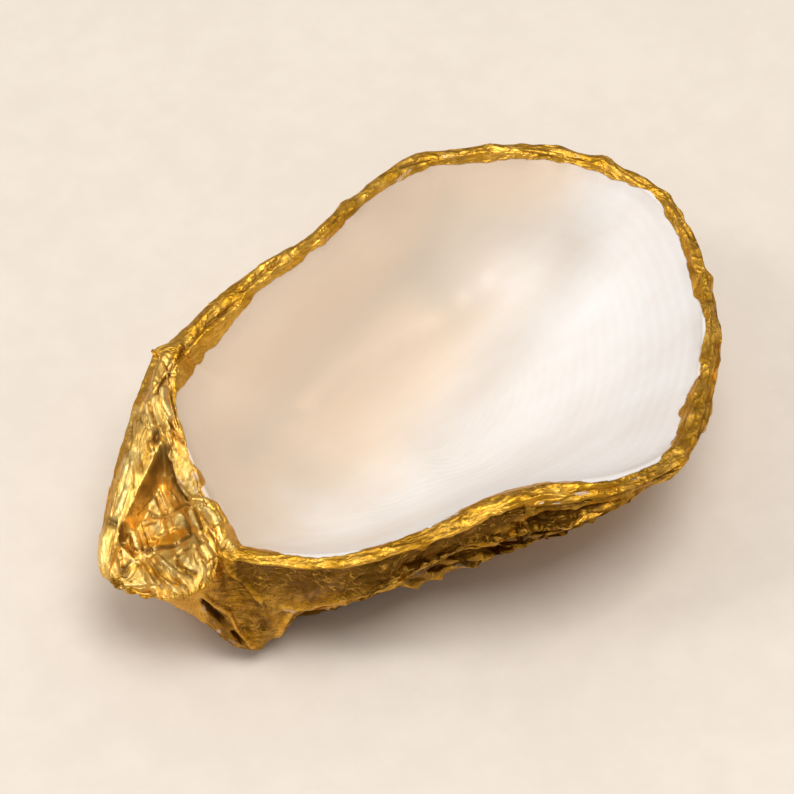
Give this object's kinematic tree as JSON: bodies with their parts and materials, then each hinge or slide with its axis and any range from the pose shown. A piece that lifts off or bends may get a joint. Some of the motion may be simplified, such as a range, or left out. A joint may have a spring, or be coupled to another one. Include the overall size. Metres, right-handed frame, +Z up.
{
  "type": "oyster shell dish",
  "caption": "Cupped oyster valve used as a small dish: gilded outside, rim and hinge, pearly white bowl, free standing on its belly.",
  "frame": {"origin": "on the surface it rests on, under the middle of its bounding box", "axes": "+X along the shell from the beak at the hinge to the rounded far end, +Z up out of the bowl, -Y towards the high front rim"},
  "size_m": [0.1036, 0.0692, 0.0292],
  "materials": {
    "gilded_shell": "gold leaf on the outside, rim and hinge plate, pearly white lining in the bowl"
  },
  "bodies": {
    "root": {"oyster_shell": "gilded_shell"}
  },
  "joints": []
}
